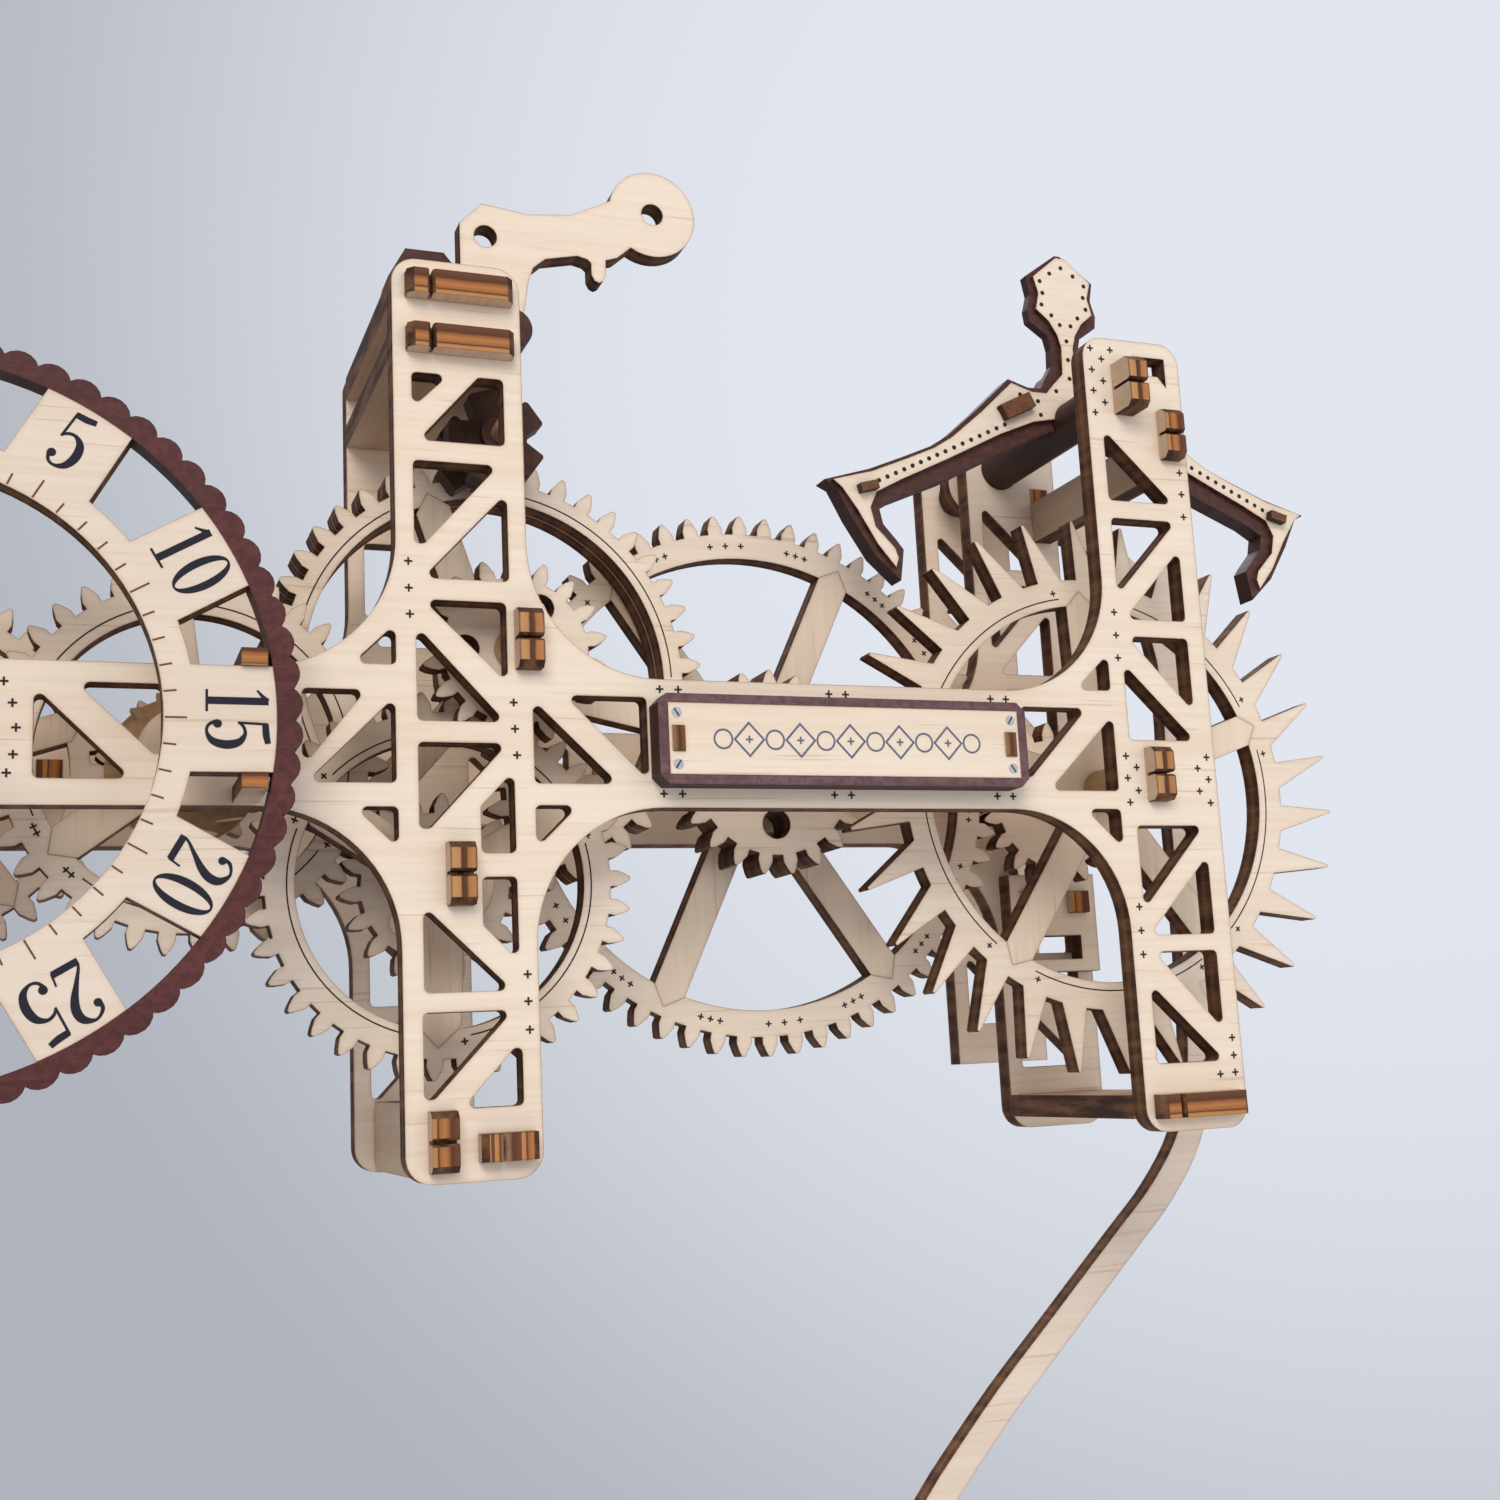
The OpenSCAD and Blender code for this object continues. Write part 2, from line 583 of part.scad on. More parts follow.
/* Great arbor */
module great_sleeve() {
  color(bare_wood) sleeve(axis_d, t + 0.5, rear_d - 0.5);
}
module great_wheel() {
  color(birch) ring_gear(axis_d, great_d, great_teeth, m_slow, ph_great, 22.4, 3, 25, 6, 96.7);
}
module great_spokes() {
  color(pale) spoke_star(axis_d, great_d, 3, 25, 6, 96.7, 8);
}
module great_pinion_gear() {
  color(birch) gear(axis_d, centre_d, great_pinion, m_centre, ph_great_p, sleeve_r);
}
module cord_drum() {
  color(burnt) difference() {
    union() {
      translate([axis_d[0], 0, axis_d[1]]) sheet(24, 3)
        polygon([for (k = [0:15]) for (s = [[12, 0], [10, 3]])
          [s[0] * cos(k * 22.5 + s[1]), s[0] * sin(k * 22.5 + s[1])]]);
      bar(axis_d, 27, 4.4, 8);
      bar(axis_d, 31.4, 1.8, 12);
    }
    bar(axis_d, 20, 20, sleeve_r);
  }
}

/* Second arbor */
module second_sleeve() {
  color(bare_wood) sleeve(axis_b, t + 2.5, 22.9);
}
module second_wheel() {
  color(birch) ring_gear(axis_b, slow_d, great_teeth, m_slow, ph_second, 22.6, 3, 25.4, 7, -93);
}
module second_spokes() {
  color(pale) spoke_star(axis_b, slow_d, 3, 25.4, 7, -93, 8);
}
module second_pinion() {
  color(birch) difference() {
    gear(axis_b, great_d, small_pinion, m_slow, ph_second_p, sleeve_r);
    for (a = [45:90:315]) bar(axis_b + 8 * [cos(a), sin(a)], great_d - 1, t + 2, 1.8);
  }
}

/* Third arbor */
module third_sleeve() {
  color(bare_wood) {
    sleeve(axis_a, t + 2.6, third_d + 2 * t);
    sleeve(axis_a, third_d + 2 * t, rear_d - 0.5, 2.8);
  }
}
module third_wheel() {
  color(birch) ring_gear(axis_a, third_d, third_teeth, m_fast, ph_third, 30.6, 3, 32.6, 6, 108, 8);
}
module third_spokes() {
  color(pale) spoke_star(axis_a, third_d, 3, 32.6, 6, 108, 9, t);
}
module third_pinion() {
  color(birch) gear(axis_a, slow_d, third_pinion_teeth, m_slow, ph_third_p, sleeve_r);
}
module front_pinion() {
  color(birch) difference() {
    gear(axis_a, t + 2.8, small_pinion, m_slow, 10.6, sleeve_r, 3.8);
    for (a = [60:120:300]) bar(axis_a + 8.2 * [cos(a), sin(a)], t + 1, t + 4, 2.2);
  }
}

/* Fourth arbor */
module fourth_sleeve() {
  color(bare_wood) sleeve(axis_c, t + 0.5, rear_d - 0.5);
}
module fourth_wheel() {
  color(birch) ring_gear(axis_c, fourth_d, fourth_teeth, m_fast, ph_fourth, 41.4, 6, 44.4, 6, 4.5);
}
module fourth_spokes() {
  color(pale) spoke_star(axis_c, fourth_d, 6, 44.4, 6, 4.5, 10);
}
module fourth_pinion() {
  color(birch) difference() {
    gear(axis_c, third_d, fourth_pinion_teeth, m_fast, ph_fourth_p, sleeve_r, 8);
    for (a = [30:120:270]) bar(axis_c + 9.4 * [cos(a), sin(a)], third_d - 1, 10, 2.6);
  }
}

/* Escape arbor */
module escape_sleeve() {
  color(bare_wood) sleeve(axis_e, t + 2.5, rear_d - 0.5);
}
escape_root = 40.2;
escape_in = 35.2;
function escape_points() = [for (k = [0:escape_teeth - 1])
  for (s = [[escape_root, -6.8], [escape_r, -0.35], [escape_r, 0.25], [escape_root, 0.4],
    [escape_root, 2.8]])
    let (a = ph_escape + k * 360 / escape_teeth + s[1]) [s[0] * cos(a), s[0] * sin(a)]];
module escape_wheel() {
  color(birch) difference() {
    translate([axis_e[0], 0, axis_e[1]]) sheet(escape_d) polygon(escape_points());
    bar(axis_e, escape_d - 1, t + 2, escape_in);
    translate([axis_e[0], 0, axis_e[1]]) sheet(escape_d - 1, t + 2) spoke_shape(5, 38, 6, 20);
  }
}
module escape_spokes() {
  color(pale) spoke_star(axis_e, escape_d, 5, 38, 6, 20, 9);
}
module escape_pinion() {
  color(birch) gear(axis_e, fourth_d, small_pinion, m_fast, ph_escape_p, sleeve_r);
}

/* Cord roller */
module lobes(r, ph) {
  for (k = [0:4]) rotate(ph + 72 * k) translate([0.66 * r, 0])
    offset(r = 0.6, $fn = 16) square([0.68 * r - 1.2, 0.6 * r - 1.2], center = true);
  circle(r = 0.62 * r, $fn = 48);
}
module cord_roller() {
  color(burnt) difference() {
    union() {
      translate([roller[0], 0, roller[1]]) sheet(10) lobes(8, -36);
      bar(roller, 14, 5, 4.6);
      translate([roller[0], 0, roller[1]]) sheet(19) lobes(8, 0);
    }
    bar(roller, 9, 16, axle_r + run);
  }
}

/* Anchor */
arm_top = [[-51.1, -15], [-43.2, -12.9], [-35.8, -9.9], [-30.3, -7.5], [-26.4, -5.1], [-19.7, 0.5],
  [-12.9, 6.8], [-8.6, 5.4], [-5.4, 5.4], [-3.6, 7.4], [-1.5, 9.6], [-1.3, 15], [-2, 17.6], [-3.6, 20.2],
  [-6.2, 22.4], [-5.4, 25.7], [-6.3, 29], [-1, 33.4]];
face_low = [[-2.6, 0.6], [-8.7, -0.6], [-16, -3.6], [-28, -9.6], [-37.5, -14.1], [-42.6, -16.8], [-44, -19.8],
  [-43.2, -23.4], [-39.6, -27.2], [-39, -29], [-39.6, -30.8], [-43, -26.6], [-46.6, -20.4], [-49.4, -16.4]];
body_low = [[-3.1, -1.4], [-7.1, -3], [-12.3, -5.4], [-18.9, -8.6], [-27.5, -13], [-38.7, -17.7],
  [-41.8, -19.6], [-41.2, -22.5], [-38.6, -25.5], [-37.4, -27.1], [-38.3, -32.9], [-43.2, -28.4],
  [-47.5, -21.5], [-50.4, -15.8]];
body_top = [[-52.4, -14.8], [-43.4, -12.2], [-36, -9.2], [-30.6, -6.9], [-26.8, -4.5], [-20.2, 1.2],
  [-13, 7.9], [-8.8, 6.6], [-6, 6.6], [-4.8, 8.8], [-3.2, 11.4], [-3, 15], [-3.6, 17.6], [-7.3, 20.2],
  [-7.6, 22.6], [-6.7, 25.7], [-7.4, 29.4], [-0.6, 34.3]];
function mirrored(p) = [for (i = [len(p) - 1:-1:0]) [-p[i][0], p[i][1]]];
module anchor_face() {
  color(pale) difference() {
    translate([pivot[0], 0, pivot[1]]) sheet(anchor_d, veneer)
      polygon(concat(arm_top, mirrored(arm_top), mirrored(face_low), face_low));
    anchor_pin_holes();
    bar(pivot, 10, 30, 4);
  }
}
module anchor_body() {
  color(mahogany) difference() {
    translate([pivot[0], 0, pivot[1]]) sheet(anchor_d + veneer)
      polygon(concat(body_top, mirrored(body_top), mirrored(body_low), body_low));
    // the shield and its neck are thinner than the arms
    box(pivot[0] - 12, pivot[0] + 12, pivot[1] + 9.5, pivot[1] + 40,
      anchor_d + veneer + shield_t, anchor_d + veneer + t + 1);
    anchor_pin_holes();
    bar(pivot, 10, 30, 4);
  }
}
module pin_shape(grow) {
  for (s = [-1, 1]) {
    translate([s * 12.6, 1.8]) rotate(s * -26)
      square([7 + grow, 3 + grow], center = true);
    translate([s * 44.6, -16.2]) rotate(s * -15) square([3.6 + grow, 1.6 + grow], center = true);
  }
}
module anchor_pin_holes() {
  translate([pivot[0], 0, pivot[1]]) sheet(anchor_d - 1, t + veneer + 2) pin_shape(0);
}
module anchor_pins() {
  color(burnt) translate([pivot[0], 0, pivot[1]]) sheet(anchor_d - 1.6, t + veneer + 1.6) pin_shape(0);
}
module anchor_sleeve() {
  color(bare_wood) sleeve(pivot, t + 2.5, wall_d - 0.6, 4);
}

/* Pendulum */
drop = pendulum_len;
// Centre line of the rod, from the pivot down to the bob.
// The bob hangs a little to the left, so that its weight balances the rod's upper curve.
bob_side = -9.86;
rod_path = [[-16, 6], [0, 0], [18, -6], [36, -17], [rod_sway, -36], [rod_sway, -66], [rod_sway, -98],
  [42.6, -124], [38.7, -137], [31, -147.6], [21.3, -156.8], [6, -171], [-12, -188], [-29, -208],
  [-35, -229], [-27, -248], [bob_side - 2, -266], [bob_side, -drop]];
function curve(a, b, c, d, u) =
  0.5 * (2 * b + (c - a) * u + (2 * a - 5 * b + 4 * c - d) * u * u + (3 * b - a - 3 * c + d) * u * u * u);
rod_line = [for (i = [1:len(rod_path) - 3]) for (k = [0:3])
  curve(rod_path[i - 1], rod_path[i], rod_path[i + 1], rod_path[i + 2], k / 4)];
function along(i) = rod_line[min(i + 1, len(rod_line) - 1)] - rod_line[max(i - 1, 0)];
function rod_side(w) = [for (i = [0:len(rod_line) - 1]) let (d = along(i))
  rod_line[i] + w * [-d[1], d[0]] / norm(d)];
function backwards(p) = [for (i = [len(p) - 1:-1:0]) p[i]];
bob = [pivot[0] + bob_side, pivot[1] - drop];
module rod_tongue() {
  box(bob[0] - 5, bob[0] + 5, bob[1] + bob_r - 8, bob[1] + bob_r + 6, rod_d, rod_d + t);
}
module pendulum_rod() {
  color(pale) difference() {
    union() {
      translate([pivot[0], 0, pivot[1]]) sheet(rod_d)
        polygon(concat(rod_side(-rod_w / 2), backwards(rod_side(rod_w / 2))));
      bar(pivot, rod_d, t, 6.5);
      rod_tongue();
    }
    bar(pivot, rod_d - 1, t + 2, 4);
  }
}
module pendulum_bob() {
  color(mahogany) difference() {
    bar(bob, rod_d - 1.5, t + 3, bob_r);
    rod_tongue();
    for (a = [0:60:300]) bar(bob + 12 * [cos(a), sin(a)], rod_d - 2, t + 4, 3.8);
  }
}

front_plate();
rear_plate();
wall_plate();
struts_top_left();
struts_foot_left();
strut_top_right();
strut_foot_right();
strut_dial_end();
wall_spacers();
axle_keys();
axles();
stub_collars();
bridge_plate();
bridge_tabs();
hook_arm();
top_block();
plaque_frame();
plaque_panel();
plaque_pins();
dial_posts();
dial_ring();
dial_rim();
centre_arbor();
centre_wheel();
centre_spokes();
cannon_pinion();
minute_hand();
hour_wheel();
hour_hand();
minute_wheel();
minute_pinion();
great_sleeve();
great_wheel();
great_spokes();
great_pinion_gear();
cord_drum();
second_sleeve();
second_wheel();
second_spokes();
second_pinion();
third_sleeve();
third_wheel();
third_spokes();
third_pinion();
front_pinion();
fourth_sleeve();
fourth_wheel();
fourth_spokes();
fourth_pinion();
escape_sleeve();
escape_wheel();
escape_spokes();
escape_pinion();
cord_roller();
anchor_face();
anchor_body();
anchor_pins();
anchor_sleeve();
pendulum_rod();
pendulum_bob();
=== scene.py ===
import json
import math

import bmesh
import bpy
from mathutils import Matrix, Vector


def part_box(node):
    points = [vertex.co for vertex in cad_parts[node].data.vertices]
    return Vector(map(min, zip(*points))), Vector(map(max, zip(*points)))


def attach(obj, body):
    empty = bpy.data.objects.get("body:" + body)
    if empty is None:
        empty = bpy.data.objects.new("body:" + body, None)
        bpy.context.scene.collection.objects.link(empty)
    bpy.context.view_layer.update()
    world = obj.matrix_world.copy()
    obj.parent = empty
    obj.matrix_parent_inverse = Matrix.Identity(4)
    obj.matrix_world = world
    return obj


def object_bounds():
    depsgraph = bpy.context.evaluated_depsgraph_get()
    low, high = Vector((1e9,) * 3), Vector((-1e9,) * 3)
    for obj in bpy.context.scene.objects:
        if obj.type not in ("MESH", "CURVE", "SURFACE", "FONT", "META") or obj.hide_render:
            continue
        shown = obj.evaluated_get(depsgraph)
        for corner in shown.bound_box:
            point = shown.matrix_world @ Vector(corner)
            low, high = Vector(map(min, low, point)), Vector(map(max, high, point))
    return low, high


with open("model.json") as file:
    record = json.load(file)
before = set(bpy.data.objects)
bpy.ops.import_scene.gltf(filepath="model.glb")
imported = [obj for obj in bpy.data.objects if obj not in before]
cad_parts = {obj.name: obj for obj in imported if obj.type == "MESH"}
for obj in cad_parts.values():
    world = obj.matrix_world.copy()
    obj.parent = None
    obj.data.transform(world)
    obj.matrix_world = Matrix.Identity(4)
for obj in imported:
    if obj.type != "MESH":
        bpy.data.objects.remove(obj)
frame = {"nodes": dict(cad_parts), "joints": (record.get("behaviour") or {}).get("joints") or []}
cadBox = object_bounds()
nodes = frame["nodes"]
mm = 0.001


def jointPlace(name):
    return next(Vector(joint["pos_m"]) for joint in frame["joints"] if joint["name"] == name)


def faceOf(node):
    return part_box(node)[0].y


axisDial = jointPlace("centre_turn")
axisGreat = jointPlace("great_turn")
axisSecond = jointPlace("second_turn")
axisThird = jointPlace("third_turn")
axisFourth = jointPlace("fourth_turn")
axisEscape = jointPlace("escape_turn")
axisPivot = jointPlace("pendulum_swing")
print("frame loaded, box", cadBox)


class Wire:  # one socket's value, so that shader sums read as sums
    def __init__(self, shade, socket):
        self.shade = shade
        self.socket = socket

    def math(self, kind, *others):
        values = {0: self}
        values.update({i + 1: other for i, other in enumerate(others)})
        return self.shade.add("ShaderNodeMath", {"operation": kind}, values)

    def __add__(self, other):
        return self.math("ADD", other)

    def __sub__(self, other):
        return self.math("SUBTRACT", other)

    def __rsub__(self, other):
        return self.shade.add("ShaderNodeMath", {"operation": "SUBTRACT"}, {0: other, 1: self})

    def __mul__(self, other):
        return self.math("MULTIPLY", other)

    def __truediv__(self, other):
        return self.math("DIVIDE", other)

    def __gt__(self, other):
        return self.math("GREATER_THAN", other)

    __radd__ = __add__
    __rmul__ = __mul__


class Nodes:  # writes one node tree
    def __init__(self, tree):
        self.tree = tree
        tree.nodes.clear()

    def node(self, kind, settings=None, values=None):
        made = self.tree.nodes.new(kind)
        for key, value in (settings or {}).items():
            if key == "stops":
                self.fillRamp(made.color_ramp, value)
            else:
                setattr(made, key, value)
        for key, value in (values or {}).items():
            if isinstance(value, Wire):
                self.tree.links.new(value.socket, made.inputs[key])
            else:
                made.inputs[key].default_value = value
        return made

    def fillRamp(self, ramp, stops):
        while len(ramp.elements) < len(stops):
            ramp.elements.new(0.5)
        for element, (spot, colour) in zip(ramp.elements, stops):
            element.position = spot
            element.color = (*colour, 1)

    def add(self, kind, settings=None, values=None, out=0):
        return Wire(self, self.node(kind, settings, values).outputs[out])

    def dot(self, a, b):
        return self.add("ShaderNodeVectorMath", {"operation": "DOT_PRODUCT"}, {0: a, 1: b}, out="Value")

    def blend(self, factor, a, b):
        return self.add("ShaderNodeMix", {"data_type": "RGBA"},
                        {0: factor, 6: a if isinstance(a, Wire) else (*a, 1),
                         7: b if isinstance(b, Wire) else (*b, 1)}, out=2)

    def range(self, value, low, high):
        return self.add("ShaderNodeMapRange", {"interpolation_type": "SMOOTHSTEP"},
                        {0: value, 1: low, 2: high, 3: 0.0, 4: 1.0})


class Shade(Nodes):  # one material
    def __init__(self, name):
        self.material = bpy.data.materials.new(name)
        self.material.use_nodes = True
        super().__init__(self.material.node_tree)
        self.surface = self.node("ShaderNodeBsdfPrincipled", {}, {"Specular IOR Level": 0.22})
        out = self.node("ShaderNodeOutputMaterial")
        self.tree.links.new(self.surface.outputs[0], out.inputs["Surface"])
        place = self.node("ShaderNodeTexCoord")
        self.place = Wire(self, place.outputs["Object"])
        parts = self.node("ShaderNodeSeparateXYZ", {}, {0: self.place})
        self.x, self.y, self.z = [Wire(self, parts.outputs[i]) for i in range(3)]
        ways = self.node("ShaderNodeSeparateXYZ", {}, {0: Wire(self, place.outputs["Normal"])})
        self.facing = {axis: self.range(Wire(self, ways.outputs[i]).math("ABSOLUTE"), 0.75, 0.9)
                       for i, axis in enumerate("xyz")}
        self.isFace = self.facing["y"]

    def stretch(self, x, y, z):
        return self.add("ShaderNodeVectorMath", {"operation": "MULTIPLY"}, {0: self.place, 1: (x, y, z)})

    def noise(self, where, scale=1.0, detail=2.0, rough=0.5):
        return self.add("ShaderNodeTexNoise", {}, {"Vector": where, "Scale": scale, "Detail": detail,
                                                   "Roughness": rough})

    def rimLine(self, radius):  # 1 on an outer edge, 0 away from it
        bent = self.add("ShaderNodeBevel", {"samples": 4}, {"Radius": radius})
        straight = self.add("ShaderNodeNewGeometry", out="Normal")
        return self.range(1 - self.dot(bent, straight), 0.02, 0.22)

    def finish(self, colour, rough, bumpHeight=None, bumpDepth=0.0001):
        for key, value in {"Base Color": colour, "Roughness": rough}.items():
            if isinstance(value, Wire):
                self.tree.links.new(value.socket, self.surface.inputs[key])
            elif key == "Base Color":
                self.surface.inputs[key].default_value = (*value, 1)
            else:
                self.surface.inputs[key].default_value = value
        if bumpHeight is not None:
            bump = self.add("ShaderNodeBump", {}, {"Strength": 0.6, "Distance": bumpDepth,
                                                   "Height": bumpHeight})
            self.tree.links.new(bump.socket, self.surface.inputs["Normal"])
        return self.material


wood = {"faceLight": (0.875, 0.74, 0.60), "faceDark": (0.76, 0.585, 0.425), "fleck": (0.46, 0.27, 0.14),
        "burnDark": (0.045, 0.018, 0.009), "burnLight": (0.19, 0.085, 0.038),
        "edgeLine": (0.155, 0.062, 0.028), "scorch": (0.55, 0.33, 0.17), "stainBurn": (0.022, 0.009, 0.007),
        "grainAcross": 900, "grainAlong": 26, "grainDeep": 60, "charGrain": (420, 60, 420),
        "plyThick": 4 * mm, "edgeWide": 0.35 * mm, "scorchWide": 1.6 * mm, "stainEdgeWide": 0.3 * mm,
        "boardEdgeWide": 0.4 * mm, "seamFrom": 0.18 * mm, "seamTo": 0.36 * mm,
        "coreStart": (0.30, 0.36), "coreEnd": (0.64, 0.70), "charRange": (0.35, 0.7),
        "endGrain": (300, 900, 300), "mottleScale": 750.0, "mottleRange": (0.42, 0.62)}
grain = {"fine": 0.55, "broad": 0.45, "broadSize": 0.12, "figure": (0.36, 0.66), "figureShare": 0.55,
         "cloudScale": 22.0, "cloudShare": 0.2, "fleckSize": 1.7, "fleck": (0.67, 0.76), "fleckShare": 0.35}


def grainColour(shade, light, dark, along, fleck=wood["fleck"]):
    long, wide, deep = wood["grainAlong"], wood["grainAcross"], wood["grainDeep"]
    stretch = {"x": (long, deep, wide), "y": (wide, long, wide), "z": (wide, deep, long)}[along]
    fine = shade.noise(shade.stretch(*stretch), 1.0, 3.0, 0.6)
    broad = shade.noise(shade.stretch(*[s * grain["broadSize"] for s in stretch]), 1.0, 2.0, 0.5)
    cloudy = shade.noise(shade.place, grain["cloudScale"], 2.0, 0.5)
    figure = shade.range(fine * grain["fine"] + broad * grain["broad"], *grain["figure"])
    colour = shade.blend(figure * grain["figureShare"] + cloudy * grain["cloudShare"], light, dark)
    flecks = shade.noise(shade.stretch(*[s * grain["fleckSize"] for s in stretch]), 1.0, 1.0, 0.4)
    return shade.blend(shade.range(flecks, *grain["fleck"]) * grain["fleckShare"], colour, fleck), fine


def plySheet(name, layerStart, light=None, dark=None, along="x", seam=0.0):
    shade = Shade(name)
    face, fine = grainColour(shade, light or wood["faceLight"], dark or wood["faceDark"], along)
    face = shade.blend(shade.rimLine(wood["scorchWide"]) * 0.32, face, wood["scorch"])
    face = shade.blend(shade.rimLine(wood["edgeWide"]), face, wood["edgeLine"])
    depth = ((shade.y - layerStart) / wood["plyThick"] + 40.0).math("FRACT")  # 40 keeps it above zero
    core = shade.range(depth, *wood["coreStart"]) * (1 - shade.range(depth, *wood["coreEnd"]))
    scorch = shade.noise(shade.stretch(*wood["charGrain"]), 1.0, 3.0, 0.6)
    burn = shade.blend(shade.range(scorch, *wood["charRange"]) * 0.65 + core * 0.35,
                       wood["burnDark"], wood["burnLight"])
    if seam:  # the glue line where two sheets lie together
        away = (shade.y - seam).math("ABSOLUTE")
        joined = 1 - shade.range(away, wood["seamFrom"], wood["seamTo"])
        burn = shade.blend(joined * 0.75, burn, wood["scorch"])
    rough = shade.isFace * -0.22 + 0.78
    return shade.finish(shade.blend(shade.isFace, burn, face), rough + fine * 0.08,
                        fine * shade.isFace + scorch * (1 - shade.isFace) * 2.0)


def stainedSheet(name, tint, tintDark):
    shade = Shade(name)
    burn = wood["stainBurn"]
    face, fine = grainColour(shade, tint, tintDark, "x", burn)
    mottle = shade.range(shade.noise(shade.place, wood["mottleScale"], 2.0, 0.6), *wood["mottleRange"])
    face = shade.blend(mottle * 0.6, face, tintDark)
    scorch = shade.noise(shade.stretch(*wood["charGrain"]), 1.0, 3.0, 0.6)
    edge = shade.blend(scorch, burn, [c * 2.8 for c in burn])
    face = shade.blend(shade.rimLine(wood["stainEdgeWide"]) * 0.7, face, burn)
    return shade.finish(shade.blend(shade.isFace, edge, face), 0.45 + fine * 0.2, fine + scorch, 0.00012)


boardBands = [(0.0, (0.50, 0.23, 0.08)), (0.15, (0.47, 0.20, 0.065)), (0.20, (0.075, 0.028, 0.012)),
              (0.27, (0.34, 0.125, 0.038)), (0.45, (0.45, 0.175, 0.052)), (0.61, (0.27, 0.09, 0.03)),
              (0.67, (0.10, 0.036, 0.016)), (0.95, (0.145, 0.055, 0.025))]
pinBands = [(0.0, (0.09, 0.035, 0.018)), (0.30, (0.32, 0.14, 0.06)), (0.50, (0.07, 0.028, 0.014)),
            (0.78, (0.24, 0.10, 0.042)), (1.0, (0.09, 0.035, 0.018))]


keyBands = [(0.0, (0.20, 0.075, 0.03)), (0.10, (0.52, 0.27, 0.11)), (0.36, (0.47, 0.22, 0.08)),
            (0.42, (0.085, 0.032, 0.014)), (0.60, (0.12, 0.045, 0.02)), (0.66, (0.38, 0.16, 0.055)),
            (0.90, (0.46, 0.20, 0.07)), (1.0, (0.16, 0.06, 0.025))]
boardFace = {"light": (0.60, 0.44, 0.31), "dark": (0.44, 0.29, 0.185)}


def boardEnd(name, across, centres, bandStops=boardBands):
    shade = Shade(name)
    run = {"x": shade.x, "z": shade.z}[across]
    centre = centres[0]
    for last, following in zip(centres, centres[1:]):
        centre = (run > (last + following) / 2) * (following - last) + centre
    layer = ((run - centre) / wood["plyThick"] + 0.5).math("FRACT")
    fibres = shade.noise(shade.stretch(*wood["endGrain"]), 1.0, 3.0, 0.65)
    bands = shade.add("ShaderNodeValToRGB", {"stops": bandStops}, {0: layer + (fibres - 0.5) * 0.10})
    scorch = shade.noise(shade.stretch(*wood["charGrain"]), 1.0, 3.0, 0.6)
    burn = shade.blend(shade.range(scorch, *wood["charRange"]), wood["burnDark"], wood["burnLight"])
    broad, fine = grainColour(shade, boardFace["light"], boardFace["dark"], "y")
    broad = shade.blend(shade.rimLine(wood["boardEdgeWide"]) * 0.8, broad, wood["edgeLine"])
    burn = shade.blend(shade.facing[across], burn, broad)
    bands = shade.blend(shade.rimLine(wood["boardEdgeWide"]) * 0.6, bands, wood["burnDark"])
    return shade.finish(shade.blend(shade.isFace, burn, bands), 0.7, fibres * 2.0 + fine, 0.0001)


dowelWood = {"light": (0.56, 0.37, 0.20), "dark": (0.27, 0.14, 0.065), "grain": (700, 30, 700)}


def turnedWood(name):
    shade = Shade(name)
    fine = shade.noise(shade.stretch(*dowelWood["grain"]), 1.0, 3.0, 0.6)
    return shade.finish(shade.blend(fine, dowelWood["light"], dowelWood["dark"]), 0.6, fine)


def inkLine(name, colour, rough=0.8):
    shade = Shade(name)
    grit = shade.noise(shade.place, 2400.0, 2.0, 0.6)
    return shade.finish(shade.blend(grit, colour, [c * 1.9 + 0.004 for c in colour]), rough)


print("shading helpers ready")

view = {"place": (0.01998, -0.334, -0.04953), "turn": (99.7315, 2.8172, -21.1694), "lens": 43.05}
camera = bpy.data.cameras.new("camera")
camera.lens = view["lens"]
camera.sensor_width = 36
camera.clip_start = 0.01
seat = bpy.data.objects.new("camera", camera)
seat.location = view["place"]
seat.rotation_euler = [math.radians(angle) for angle in view["turn"]]
bpy.context.scene.collection.objects.link(seat)
bpy.context.scene.camera = seat
bpy.context.scene.view_settings.view_transform = "Standard"

room = {"towards": (0.618, 0.705, 0.348), "near": 0.70, "far": 0.985, "dim": (0.43, 0.455, 0.505),
        "bright": (0.755, 0.79, 0.865)}
world = bpy.data.worlds.new("room")
bpy.context.scene.world = world
world.use_nodes = True
air = Nodes(world.node_tree)
side = air.add("ShaderNodeTexCoord", out="Generated")
glow = air.range(air.dot(side, room["towards"]), room["near"], room["far"])
backdrop = air.node("ShaderNodeBackground", {}, {0: air.blend(glow, room["dim"], room["bright"])})
worldOut = air.node("ShaderNodeOutputWorld")
air.tree.links.new(backdrop.outputs[0], worldOut.inputs[0])

